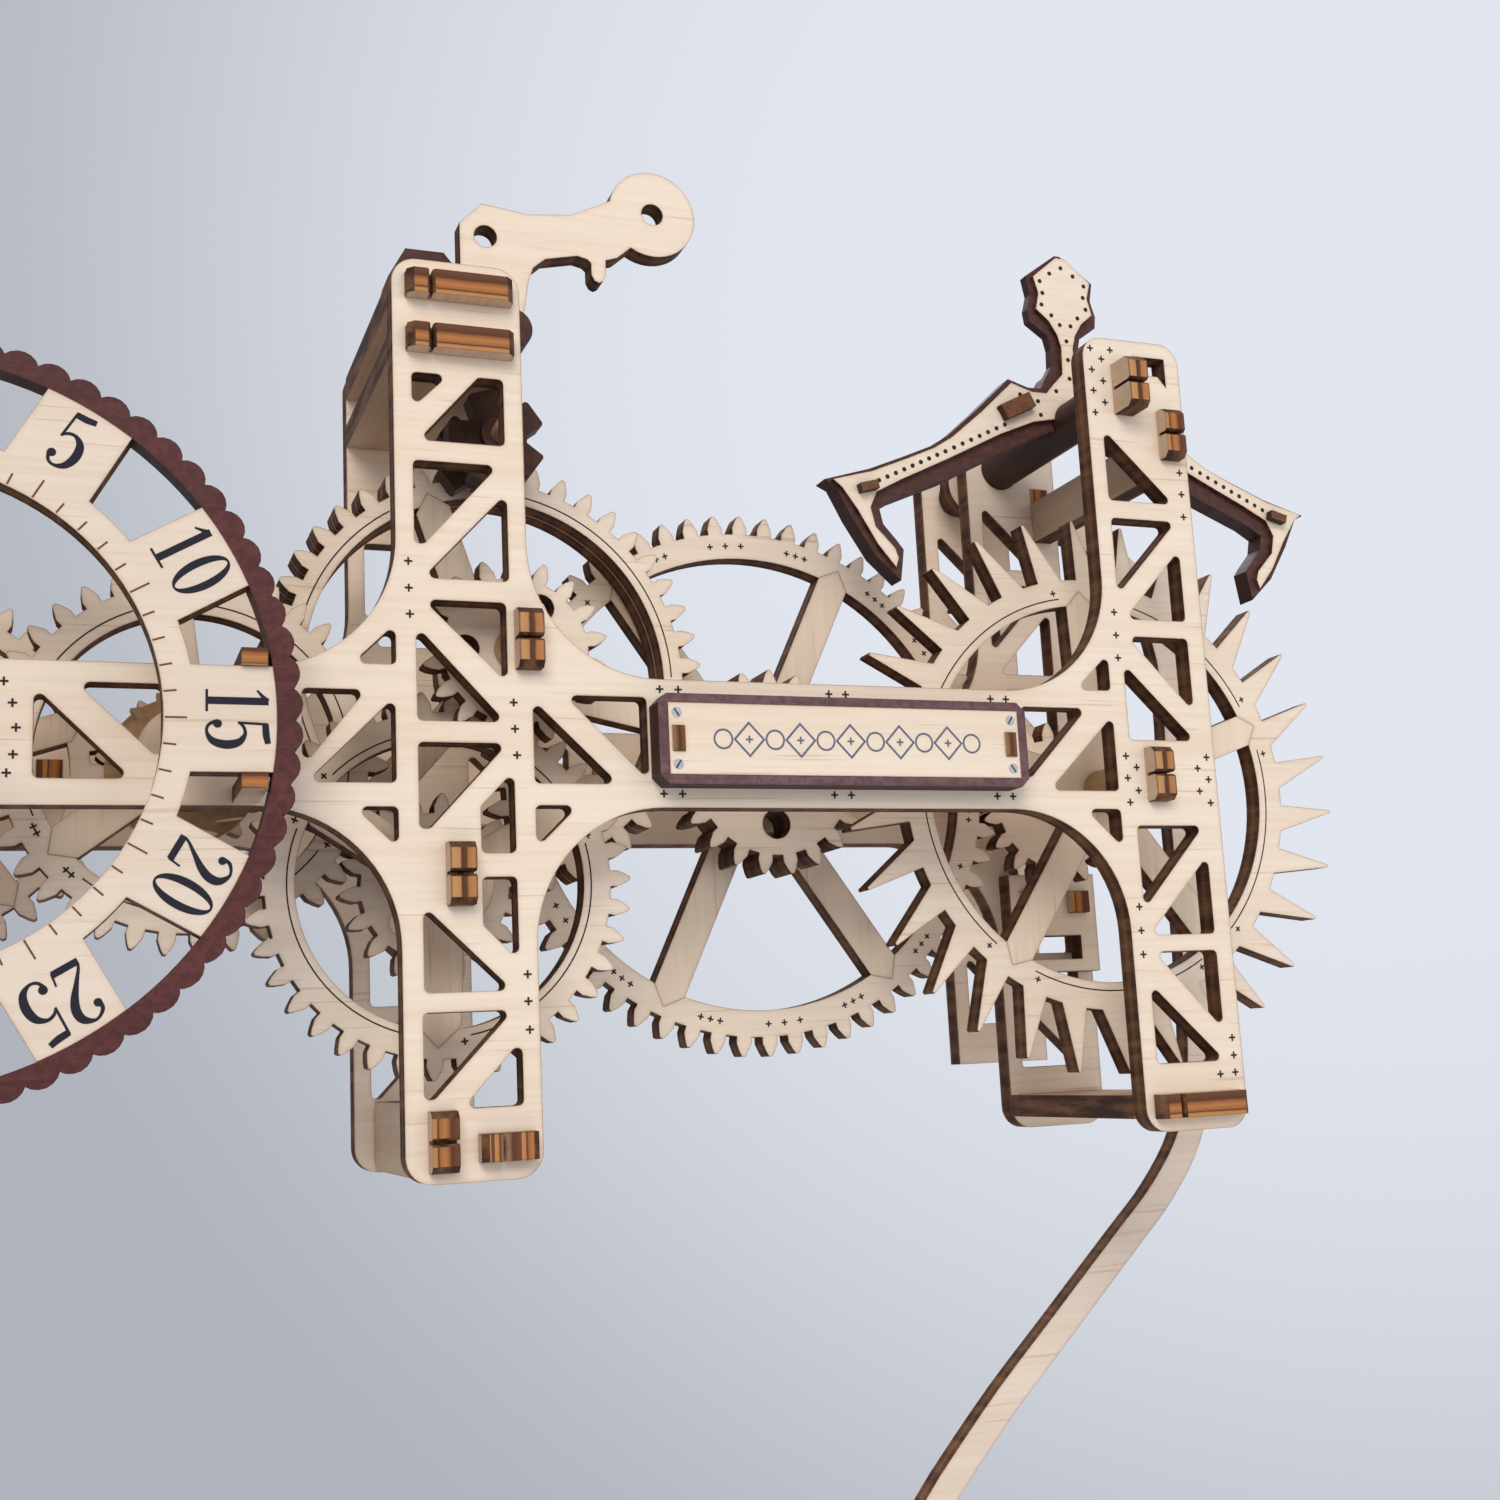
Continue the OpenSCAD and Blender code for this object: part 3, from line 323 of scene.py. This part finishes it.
lampAim = Vector((0.1, 0, 0))
lamps = [{"name": "window", "place": (-0.35, -1.15, 0.80), "size": 0.8, "power": 12,
          "tint": (1, 0.975, 0.94)},
         {"name": "fill", "place": (0.95, -0.9, 0.1), "size": 1.2, "power": 4, "tint": (0.97, 0.98, 1)},
         {"name": "rim", "place": (0.3, 0.5, 0.8), "size": 0.8, "power": 6, "tint": (1, 1, 1)}]
for lamp in lamps:
    light = bpy.data.lights.new(lamp["name"], "AREA")
    light.size = lamp["size"]
    light.energy = lamp["power"]
    light.color = lamp["tint"]
    holder = bpy.data.objects.new(lamp["name"], light)
    holder.location = lamp["place"]
    aim = lampAim - holder.location
    holder.rotation_euler = aim.to_track_quat("-Z", "Y").to_euler()
    bpy.context.scene.collection.objects.link(holder)

floorFit = {"under": 0.004, "radius": 0.42, "middle": 0.08, "colour": (0.72, 0.74, 0.77)}
bpy.ops.mesh.primitive_circle_add(vertices=96, radius=floorFit["radius"], fill_type="NGON",
                                  location=(floorFit["middle"], 0.0,
                                            cadBox[0][2] - floorFit["under"]))
floor = bpy.context.active_object
floor.name = "floor"
floor.data.materials.append(Shade("paleFloor").finish(floorFit["colour"], 0.9))
print("camera, lights and floor placed")


def wear(material, *names):
    for name in names:
        slots = nodes[name].data.materials
        slots.clear()
        slots.append(material)


def middleOf(node):
    low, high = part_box(node)
    return (low + high) / 2


def endsOf(node, axis, half):  # centres of the first and last board of a node
    low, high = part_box(node)
    return [getattr(low, axis) + half, getattr(high, axis) - half]


wear(plySheet("birchFront", faceOf("front_plate")), "front_plate", "rear_plate", "wall_plate",
     "bridge_plate", "hour_wheel", "hook_arm")
spokeWood = {"light": (0.84, 0.69, 0.54), "dark": (0.74, 0.57, 0.41)}
for wheel in ("great", "second", "third", "fourth", "escape", "centre"):
    doubled = middleOf("third_wheel").y if wheel == "third" else 0.0
    wear(plySheet(wheel + "Ring", faceOf(wheel + "_wheel"), seam=doubled), wheel + "_wheel")
    wear(plySheet(wheel + "Spokes", faceOf(wheel + "_spokes"), spokeWood["light"], spokeWood["dark"],
                  "z"), wheel + "_spokes")
for pinion in ("great_pinion_gear", "second_pinion", "third_pinion", "front_pinion", "fourth_pinion",
               "escape_pinion", "minute_wheel", "minute_pinion"):
    wear(plySheet(pinion + "Ply", faceOf(pinion)), pinion)
dialWood = {"light": (0.79, 0.655, 0.535), "dark": (0.68, 0.53, 0.40)}
for sheet in ("dial_ring", "pendulum_rod"):
    wear(plySheet(sheet + "Ply", faceOf(sheet), dialWood["light"], dialWood["dark"]), sheet)
for sheet in ("plaque_panel", "anchor_face"):
    wear(plySheet(sheet + "Ply", faceOf(sheet)), sheet)
# stained woods, plus one dark colour that is painted shade on the anchor sleeve
stainsAndPaintedShade = {"mahoganyRim": ((0.122, 0.034, 0.031), (0.058, 0.017, 0.016), ["dial_rim"]),
          "mahoganyFrame": ((0.185, 0.105, 0.105), (0.095, 0.040, 0.042), ["plaque_frame"]),
          "mahoganyDark": ((0.115, 0.045, 0.036), (0.055, 0.022, 0.018),
                           ["anchor_body", "top_block", "stub_collars", "pendulum_bob"]),
          "charred": ((0.085, 0.038, 0.020), (0.045, 0.018, 0.010), ["cord_roller"]),
          "charredPins": ((0.21, 0.088, 0.038), (0.11, 0.045, 0.020), ["anchor_pins"]),
          "handStain": ((0.05, 0.02, 0.018), (0.03, 0.012, 0.011), ["minute_hand", "hour_hand"]),
          # painted shade: the anchor sleeve is coloured dark brown to stand for the shade behind the anchor
          # hub
          "darkDowel": ((0.20, 0.115, 0.065), (0.10, 0.052, 0.028), ["anchor_sleeve"])}
for name, (tint, tintDark, wearers) in stainsAndPaintedShade.items():
    wear(stainedSheet(name, tint, tintDark), *wearers)
wear(turnedWood("dowel"), "axles", "centre_arbor", "cannon_pinion", "great_sleeve", "second_sleeve",
     "third_sleeve", "fourth_sleeve", "escape_sleeve", "cord_drum")
half = wood["plyThick"] / 2
thinHalf = {"pins": 1 * mm, "posts": 1.15 * mm}
wear(boardEnd("tabsTopLeft", "z", endsOf("struts_top_left", "z", half)), "struts_top_left")
wear(boardEnd("tabsFootLeft", "x", endsOf("struts_foot_left", "x", half)), "struts_foot_left")
wear(boardEnd("tabTopRight", "x", [middleOf("strut_top_right").x]), "strut_top_right")
wear(boardEnd("tabFootRight", "z", [middleOf("strut_foot_right").z]), "strut_foot_right")
wear(boardEnd("tabDialEnd", "x", [middleOf("strut_dial_end").x]), "strut_dial_end", "wall_spacers")
wear(boardEnd("keyEnds", "x", [axisSecond.x, axisThird.x, axisPivot.x], keyBands), "axle_keys")
wear(boardEnd("pinEnds", "x", endsOf("plaque_pins", "x", thinHalf["pins"]), pinBands), "plaque_pins")
wear(boardEnd("bridgeEnds", "x", endsOf("bridge_tabs", "x", half)), "bridge_tabs")
wear(boardEnd("postEnds", "z", endsOf("dial_posts", "z", thinHalf["posts"])), "dial_posts")
print("finishes on the packed nodes")


class Engraving:  # thin closed slabs on one face, gathered into one piece
    proud = 0.05 * mm
    sunk = 0.03 * mm

    def __init__(self, face):
        self.face = face
        self.points = []
        self.faces = []
        self.count = 0

    def depths(self):
        self.count += 1
        return self.face - self.proud - (self.count % 7) * 0.001 * mm, self.face + self.sunk

    def blot(self, outline):
        start, size = len(self.points), len(outline)
        for y in self.depths():
            self.points += [(x, y, z) for x, z in outline]
        self.faces.append([start + i for i in range(size)])
        self.faces.append([start + size + i for i in reversed(range(size))])
        for i in range(size):
            j = (i + 1) % size
            self.faces.append([start + j, start + i, start + size + i, start + size + j])

    def strip(self, left, right, closed=False):
        start, size = len(self.points), len(left)
        for y in self.depths():
            self.points += [(x, y, z) for x, z in left] + [(x, y, z) for x, z in right]
        a, b, c, d = start, start + size, start + 2 * size, start + 3 * size
        for i in range(size if closed else size - 1):
            j = (i + 1) % size
            self.faces += [[a + i, a + j, b + j, b + i], [c + i, d + i, d + j, c + j],
                           [a + i, c + i, c + j, a + j], [b + i, b + j, d + j, d + i]]
        if not closed:
            last = size - 1
            self.faces += [[a, b, d, c], [a + last, c + last, d + last, b + last]]

    def ribbon(self, line):
        left, right = [], []
        for i, (x, z, wide) in enumerate(line):
            ahead, behind = line[min(i + 1, len(line) - 1)], line[max(i - 1, 0)]
            across = Vector((behind[1] - ahead[1], ahead[0] - behind[0])).normalized() * wide / 2
            left.append((x + across.x, z + across.y))
            right.append((x - across.x, z - across.y))
        self.strip(left, right)

    def plus(self, x, z, reach, wide, turn=0.0):
        corners = []
        for quarter in range(4):
            spin = turn + quarter * math.pi / 2
            for along, across in ((reach, -wide / 2), (reach, wide / 2), (wide / 2, wide / 2)):
                corners.append((x + along * math.cos(spin) - across * math.sin(spin),
                                z + along * math.sin(spin) + across * math.cos(spin)))
        self.blot(corners)

    def disc(self, x, z, radius, sides=10):
        turns = [k * math.tau / sides for k in range(sides)]
        self.blot([(x + radius * math.cos(turn), z + radius * math.sin(turn)) for turn in turns])

    def arc(self, centre, radius, start, end, wide):
        count = max(3, int(abs(end - start) / 3))
        turns = [math.radians(start + (end - start) * k / count) for k in range(count + 1)]
        closed = abs(end - start) >= 360
        if closed:
            turns.pop()
        edges = [[(centre.x + r * math.cos(a), centre.z + r * math.sin(a)) for a in turns]
                 for r in (radius + wide / 2, radius - wide / 2)]
        self.strip(*edges, closed=closed)

    def piece(self, name, material, body):
        mesh = bpy.data.meshes.new(name)
        mesh.from_pydata(self.points, [], self.faces)
        work = bmesh.new()
        work.from_mesh(mesh)
        bmesh.ops.recalc_face_normals(work, faces=work.faces)
        work.to_mesh(mesh)
        work.free()
        made = bpy.data.objects.new(name, mesh)
        bpy.context.scene.collection.objects.link(made)
        mesh.materials.append(material)
        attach(made, body)
        return made


blackInk = inkLine("blackInk", (0.022, 0.016, 0.014))
brownInk = inkLine("brownInk", (0.11, 0.05, 0.024))

plateMarks = {"reach": 0.62 * mm, "wide": 0.3 * mm, "ringRadius": 15.6, "ringAngles": (27, 15, 2, -12, -22),
              "beamX": (109.9, 113, 139.2, 142.2, 169.3, 172.3), "beamZ": (8.7, -8.1),
              "left": [(70.4, 27.5), (70.4, 23.3), (70.5, 19.2), (86.2, 5.9), (86.3, 1.8), (86.5, -2.3),
                       (87.2, -35.6), (87.2, -39.6), (87.3, -43.8)],
              "right": [(195.2, 74.6), (197.4, 72.7), (195.2, 70.5), (197.4, 68.5), (195.2, 66.5),
                        (197.4, 64.4), (195.2, 62.3), (199.4, 74.6), (212.1, 52.1), (212.1, 48),
                        (212.1, 43.7), (195.5, 25.1), (195.5, 20.9), (195.5, 16.8), (195.4, -0.8),
                        (197.4, -2.8), (195.4, -4.7), (197.4, -6.9), (195.5, -9), (212.2, -0.8),
                        (210.1, -2.8), (212.2, -4.8), (210.1, -6.9), (212.2, -9), (195.5, -27.2),
                        (195.5, -31.3), (195.5, -35.4), (212.1, -50.2), (212.1, -53.2), (212.1, -56.1),
                        (209, -56.3)]}
crosses = Engraving(faceOf("front_plate"))
spots = plateMarks["left"] + plateMarks["right"]
spots += [(x, z) for x in plateMarks["beamX"] for z in plateMarks["beamZ"]]
for angle in plateMarks["ringAngles"]:
    for way in (1, -1):
        spots.append((way * plateMarks["ringRadius"] * math.cos(math.radians(angle)),
                      plateMarks["ringRadius"] * math.sin(math.radians(angle))))
for x, z in spots:
    crosses.plus(x * mm, z * mm, plateMarks["reach"], plateMarks["wide"])
crosses.piece("plateCrosses", blackInk, "frame")
print("crosses on the front plate")

wheelInk = {"line": 0.22 * mm, "reach": 0.55 * mm, "wide": 0.28 * mm}


def engraveWheel(body, centre, lineRadius, crossRadius, ends, gap, spread):  # angles in degrees
    ink = Engraving(faceOf(body + "_wheel"))
    step = 360 / len(ends)
    for end in ends:
        if lineRadius:
            ink.arc(centre, lineRadius, end + gap, end + step - gap, wheelInk["line"])
        for shift in spread:
            turn = math.radians(end + shift)
            ink.plus(centre.x + crossRadius * math.cos(turn), centre.z + crossRadius * math.sin(turn),
                     wheelInk["reach"], wheelInk["wide"], turn)
    ink.piece(body + "Lines", blackInk, body)


wheelMarks = [{"body": "second", "centre": axisSecond, "lineRadius": 23.8 * mm, "crossRadius": 24.6 * mm,
               "ends": (-93, 27, 147), "gap": 12, "spread": (-9.5, 9.5)},
              {"body": "great", "centre": axisGreat, "lineRadius": 24.0 * mm, "crossRadius": 24.6 * mm,
               "ends": (96.7, 216.7, 336.7), "gap": 14, "spread": (-10.5, -8, 8, 10.5)},
              {"body": "third", "centre": axisThird, "lineRadius": 32.0 * mm, "crossRadius": 32.2 * mm,
               "ends": (108, -12, 228), "gap": 13, "spread": (-8.5, -6.5, 6.5, 8.5)},
              {"body": "fourth", "centre": axisFourth, "lineRadius": 0, "crossRadius": 43.8 * mm,
               "ends": [4.5 + 60 * k for k in range(6)], "gap": 0,
               "spread": (-14, -11.6, -9.2, 9.2, 11.6, 14, 26, 30, 34)},
              {"body": "escape", "centre": axisEscape, "lineRadius": 36.7 * mm, "crossRadius": 37.9 * mm,
               "ends": [20 + 72 * k for k in range(5)], "gap": 7, "spread": (-8.5, 8.5)}]
for marks in wheelMarks:
    engraveWheel(**marks)
print("engraving on the wheels")

dialInk = {"radius": 44.1 * mm, "height": 8.6 * mm, "gap": 0.075, "tickIn": 34.5 * mm, "tick": 1.7 * mm,
           "tickLong": 2.9 * mm, "tickWide": 0.26 * mm}
digitWidth = {"0": 0.54, "1": 0.40, "2": 0.50, "3": 0.50, "4": 0.52, "5": 0.50, "6": 0.52}
digitBalls = {"2": [(0.10, 0.755, 0.065)], "3": [(0.11, 0.79, 0.06), (0.09, 0.215, 0.065)],
              "5": [(0.10, 0.185, 0.07)], "6": [(0.405, 0.835, 0.06)]}
zeroShape = {"middle": (0.27, 0.5), "outer": (0.25, 0.50), "inner": (0.125, 0.465), "points": 40}
digitLines = {
    "1": [[(0.20, 0.98, 0.12), (0.20, 0.02, 0.12)],
          [(0.02, 0.80, 0.03), (0.10, 0.87, 0.05), (0.20, 0.96, 0.09)],
          [(0.02, 0.02, 0.04), (0.38, 0.02, 0.04)]],
    "2": [[(0.07, 0.74, 0.06), (0.09, 0.88, 0.06), (0.24, 0.97, 0.045), (0.40, 0.88, 0.12),
           (0.43, 0.72, 0.14), (0.36, 0.54, 0.12), (0.22, 0.34, 0.07), (0.09, 0.16, 0.045),
           (0.06, 0.07, 0.05)],
          [(0.04, 0.055, 0.11), (0.46, 0.055, 0.11)], [(0.46, 0.03, 0.035), (0.49, 0.24, 0.03)]],
    "3": [[(0.08, 0.79, 0.05), (0.13, 0.92, 0.05), (0.25, 0.98, 0.045), (0.38, 0.90, 0.11),
           (0.41, 0.77, 0.13), (0.35, 0.61, 0.09), (0.19, 0.54, 0.04)],
          [(0.19, 0.53, 0.04), (0.36, 0.49, 0.09), (0.45, 0.30, 0.14), (0.39, 0.10, 0.11),
           (0.23, 0.02, 0.045), (0.10, 0.07, 0.05), (0.06, 0.20, 0.06)]],
    "4": [[(0.37, 0.98, 0.12), (0.37, 0.02, 0.12)], [(0.35, 0.97, 0.04), (0.02, 0.29, 0.04)],
          [(0.02, 0.29, 0.06), (0.51, 0.29, 0.06)], [(0.24, 0.02, 0.04), (0.50, 0.02, 0.04)]],
    "5": [[(0.09, 0.93, 0.10), (0.27, 0.94, 0.11), (0.42, 0.97, 0.09)],
          [(0.10, 0.96, 0.04), (0.08, 0.50, 0.04)],
          [(0.08, 0.52, 0.035), (0.15, 0.59, 0.05), (0.27, 0.61, 0.06), (0.40, 0.51, 0.12),
           (0.44, 0.31, 0.14), (0.38, 0.11, 0.11), (0.24, 0.02, 0.05), (0.12, 0.05, 0.05),
           (0.06, 0.17, 0.06)]],
    "6": [[(0.42, 0.86, 0.05), (0.35, 0.96, 0.05), (0.22, 0.92, 0.07), (0.10, 0.73, 0.12),
           (0.07, 0.46, 0.14), (0.09, 0.22, 0.13), (0.17, 0.06, 0.07), (0.27, 0.02, 0.05),
           (0.39, 0.10, 0.11), (0.44, 0.29, 0.14), (0.40, 0.48, 0.11), (0.29, 0.56, 0.05),
           (0.17, 0.50, 0.045), (0.10, 0.40, 0.04)]]}


def smoothed(line, steps=5):
    if len(line) < 3:
        return line
    padded = [line[0]] + line + [line[-1]]
    made = []
    for a, b, c, d in zip(padded, padded[1:], padded[2:], padded[3:]):
        for k in range(steps):
            u = k / steps
            made.append(tuple(0.5 * (2 * q + (r - p) * u + (2 * p - 5 * q + 4 * r - s) * u * u
                                     + (3 * q - p - 3 * r + s) * u ** 3) for p, q, r, s in zip(a, b, c, d)))
    return made + [line[-1]]


def writeNumber(ink, text, angle):
    out = Vector((math.sin(angle), math.cos(angle)))
    way = Vector((math.cos(angle), -math.sin(angle)))
    size = dialInk["height"]
    length = sum(digitWidth[digit] for digit in text) + dialInk["gap"] * (len(text) - 1)
    pen = -length / 2

    def place(across, up):
        spot = out * (dialInk["radius"] + (up - 0.5) * size) + way * (pen + across) * size
        return axisDial.x + spot.x, axisDial.z + spot.y

    for digit in text:
        for line in digitLines.get(digit, []):
            ink.ribbon([(*place(across, up), wide * size) for across, up, wide in smoothed(line)])
        for across, up, radius in digitBalls.get(digit, []):
            ink.disc(*place(across, up), radius * size, 14)
        if digit == "0":
            across, up = zeroShape["middle"]
            turns = [k * math.tau / zeroShape["points"] for k in range(zeroShape["points"])]
            ink.strip(*[[place(across + wide * math.cos(a), up + tall * math.sin(a)) for a in turns]
                        for wide, tall in (zeroShape["outer"], zeroShape["inner"])], closed=True)
        pen += digitWidth[digit] + dialInk["gap"]


numerals = Engraving(faceOf("dial_ring"))
ticks = Engraving(faceOf("dial_ring"))
for minute in range(60):
    turn = minute * math.tau / 60
    five = minute % 5 == 0
    if five:
        writeNumber(numerals, str(minute or 60), turn)
    ends = [dialInk["tickIn"], dialInk["tickIn"] + (dialInk["tickLong"] if five else dialInk["tick"])]
    ticks.ribbon([(axisDial.x + r * math.sin(turn), axisDial.z + r * math.cos(turn), dialInk["tickWide"])
                  for r in ends])
numerals.piece("dialNumerals", inkLine("dialInk", (0.012, 0.011, 0.018)), "frame")
ticks.piece("dialTicks", brownInk, "frame")
print("numerals and ticks on the dial")

anchorInk = {"dot": 0.44 * mm, "outerDots": 8, "innerDots": 7,
             "armFrom": (42.0, -14.6), "armBend": (28.0, -8.0), "armTo": (15.0, -1.7),
             "shield": [(0, 31.4), (2.6, 30.0), (4.9, 28.2), (4.5, 25.8), (4.9, 23.4), (2.9, 21.4),
                        (1.2, 19.6)],
             "neck": [(0, 16.4), (0, 12.6), (0, 8.8)],
             "hub": [(3.2, 6.0), (7.4, 3.6), (7.0, 0.9), (11.2, 4.6), (16.0, 1.3)]}
dots = Engraving(faceOf("anchor_face"))
for way in (-1, 1):
    a, b, c = [Vector(anchorInk[key]) for key in ("armFrom", "armBend", "armTo")]
    row = [a.lerp(b, k / anchorInk["outerDots"]) for k in range(anchorInk["outerDots"])]
    row += [b.lerp(c, k / anchorInk["innerDots"]) for k in range(anchorInk["innerDots"] + 1)]
    row += [Vector(spot) for key in ("shield", "neck", "hub") for spot in anchorInk[key]]
    for spot in row:
        if way == 1 or abs(spot.x) > 0.1:
            dots.disc(axisPivot.x + way * spot.x * mm, axisPivot.z + spot.y * mm, anchorInk["dot"])
dots.piece("anchorDots", blackInk, "pendulum")
print("dots on the anchor")

plaqueInk = {"screw": 0.85 * mm, "slot": 0.22 * mm, "slotReach": 0.6 * mm, "slotLean": 0.4 * mm,
             "acrossX": 29.6 * mm, "acrossZ": 4.1 * mm, "line": 0.3 * mm, "each": 5, "step": 4.4 * mm,
             "ring": 1.5 * mm, "wide": 2.7 * mm, "tall": 2.9 * mm, "inner": 0.84, "cross": 0.6 * mm,
             "crossWide": 0.28 * mm, "slotAbove": 1.2}
plate = middleOf("plaque_panel")
plaqueFace = faceOf("plaque_panel")
screws = Engraving(plaqueFace)
screwSlots = Engraving(plaqueFace - Engraving.proud * plaqueInk["slotAbove"])
for wayX in (-1, 1):
    for wayZ in (-1, 1):
        x, z = plate.x + wayX * plaqueInk["acrossX"], plate.z + wayZ * plaqueInk["acrossZ"]
        screws.disc(x, z, plaqueInk["screw"], 20)
        lean, reach = plaqueInk["slotLean"] * wayX * wayZ, plaqueInk["slotReach"]
        screwSlots.ribbon([(x - lean, z - reach, plaqueInk["slot"]),
                           (x + lean, z + reach, plaqueInk["slot"])])
screws.piece("plaqueScrewHeads", inkLine("greyInk", (0.30, 0.31, 0.33), 0.5), "frame")
screwSlots.piece("plaqueScrewSlots", blackInk, "frame")
ornament = Engraving(plaqueFace)
for k in range(-plaqueInk["each"], plaqueInk["each"] + 1):  # a row of linked lozenges and rings
    x = plate.x + k * plaqueInk["step"]
    if k % 2:
        ornament.arc(Vector((x, 0, plate.z)), plaqueInk["ring"], 0, 360, plaqueInk["line"])
    else:
        corners = [(plaqueInk["wide"], 0), (0, plaqueInk["tall"]), (-plaqueInk["wide"], 0),
                   (0, -plaqueInk["tall"])]
        rings = [[(x + across * size, plate.z + up * size) for across, up in corners]
                 for size in (1, plaqueInk["inner"])]
        ornament.strip(*rings, closed=True)
        ornament.plus(x, plate.z, plaqueInk["cross"], plaqueInk["crossWide"])
ornament.piece("plaqueOrnament", inkLine("blueInk", (0.085, 0.095, 0.14)), "frame")
print("plaque's screws and ornament")
